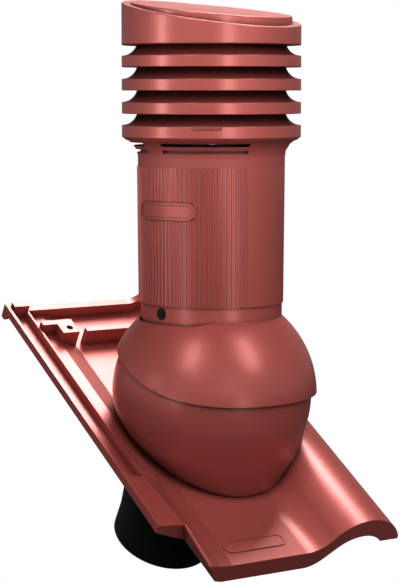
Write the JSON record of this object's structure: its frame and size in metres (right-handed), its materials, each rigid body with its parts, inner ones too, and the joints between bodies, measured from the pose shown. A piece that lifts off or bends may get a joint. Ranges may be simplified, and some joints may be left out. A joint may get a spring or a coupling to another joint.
{
  "type": "roof tile vent",
  "caption": "Pantile with a moulded ball base that carries a tilting, turning insulated vent pipe with a louvred cap and a sloping lid; a black duct spigot below.",
  "frame": {"origin": "centre of the batten screw hole where it opens in the screw block's top face", "axes": "+Z plumb up along the vent pipe, -Y down the fall of the roof towards the eaves, +X to the right as seen from the eaves; the tile lies at a roof pitch of 30 degrees"},
  "size_m": [0.2816, 0.4023, 0.6405],
  "materials": {
    "red_plastic": "smooth, semi-gloss, brick red through and through",
    "black_plastic": "satin black",
    "duct_plastic": "plain grey",
    "foam": "light grey cellular foam",
    "seal_rubber": "matt black",
    "screw_steel": "stainless",
    "insert_brass": "turned"
  },
  "bodies": {
    "tile": {"tile_body": "red_plastic", "ball_base": "red_plastic", "duct_spigot": "black_plastic", "spigot_gasket": "seal_rubber", "spigot_screws": "screw_steel"},
    "clamp": {"clamp_nut": "black_plastic"},
    "chimney": {"dome": "red_plastic", "ball_seal": "seal_rubber", "lock_inserts": "insert_brass", "lock_screws": "screw_steel", "lock_caps": "black_plastic", "outer_pipe": "red_plastic", "pipe_seal": "seal_rubber", "duct_seal": "seal_rubber", "inner_duct": "duct_plastic", "insulation_sleeve": "foam", "cap_collar": "red_plastic", "cap_base_ring": "red_plastic", "louvre_ring_1": "red_plastic", "louvre_ring_2": "red_plastic", "louvre_ring_3": "red_plastic", "cap_bolts": "screw_steel", "cap_lid": "red_plastic"}
  },
  "joints": [
    {"name": "chimney_tilt", "type": "hinge", "parent": "tile", "child": "clamp", "pos_m": [0.081, -0.17475, -0.05932], "axis": [1, 0, 0], "range_deg": [-10, 15]},
    {"name": "chimney_turn", "type": "hinge", "parent": "clamp", "child": "chimney", "pos_m": [0.081, -0.17475, -0.05932], "axis": [0, 0, 1], "range_deg": [-33, 7]}
  ]
}
